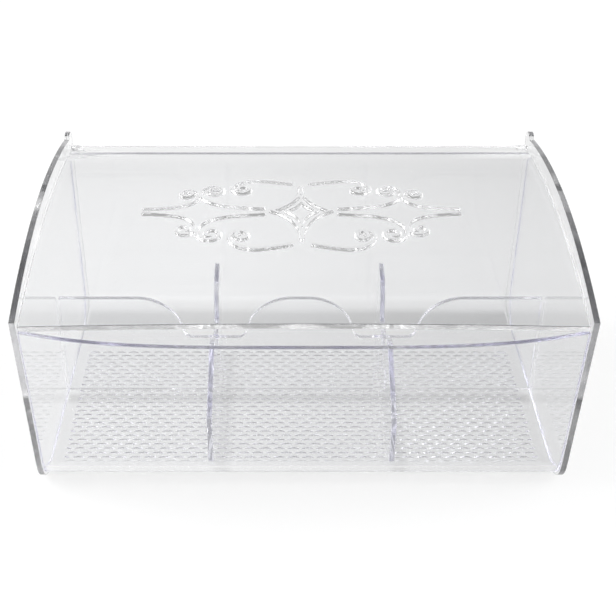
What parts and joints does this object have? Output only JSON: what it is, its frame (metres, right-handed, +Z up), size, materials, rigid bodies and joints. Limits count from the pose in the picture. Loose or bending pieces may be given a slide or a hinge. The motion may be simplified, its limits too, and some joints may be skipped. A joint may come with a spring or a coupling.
{
  "type": "tea bag organizer box",
  "caption": "Clear plastic tea bag box: a moulded tray between two side panels, a curved hinged lid, and a lift-out grid of slotted dividers that makes two rows of compartments.",
  "frame": {"origin": "under the middle of the box, on the surface that it stands on", "axes": "+X along the width towards the right as seen from the front, -Y towards the front, +Z up"},
  "size_m": [0.22, 0.147, 0.1052],
  "materials": {
    "tray_plastic": "clear, polished, with a woven texture on the floor",
    "panel_plastic": "clear, polished",
    "lid_plastic": "clear, polished, with an embossed line ornament",
    "divider_plastic": "clear, polished",
    "pin_plastic": "clear, polished"
  },
  "bodies": {
    "base": {"tray": "tray_plastic", "side_panel_left": "panel_plastic", "side_panel_right": "panel_plastic", "hinge_pin_left": "pin_plastic", "hinge_pin_right": "pin_plastic"},
    "lid": {"lid": "lid_plastic"},
    "dividers": {"divider_left": "divider_plastic", "divider_right": "divider_plastic"},
    "partition": {"partition": "divider_plastic"}
  },
  "joints": [
    {"name": "lid_hinge", "type": "hinge", "parent": "base", "child": "lid", "pos_m": [0, 0.0694, 0.0926], "axis": [-1, 0, 0], "range_deg": [0, 105]},
    {"name": "dividers_lift", "type": "slide", "parent": "base", "child": "dividers", "axis": [0, 0, 1], "range_m": [0, 0.012]},
    {"name": "partition_lift", "type": "slide", "parent": "dividers", "child": "partition", "axis": [0, 0, 1], "range_m": [0, 0.027]}
  ]
}
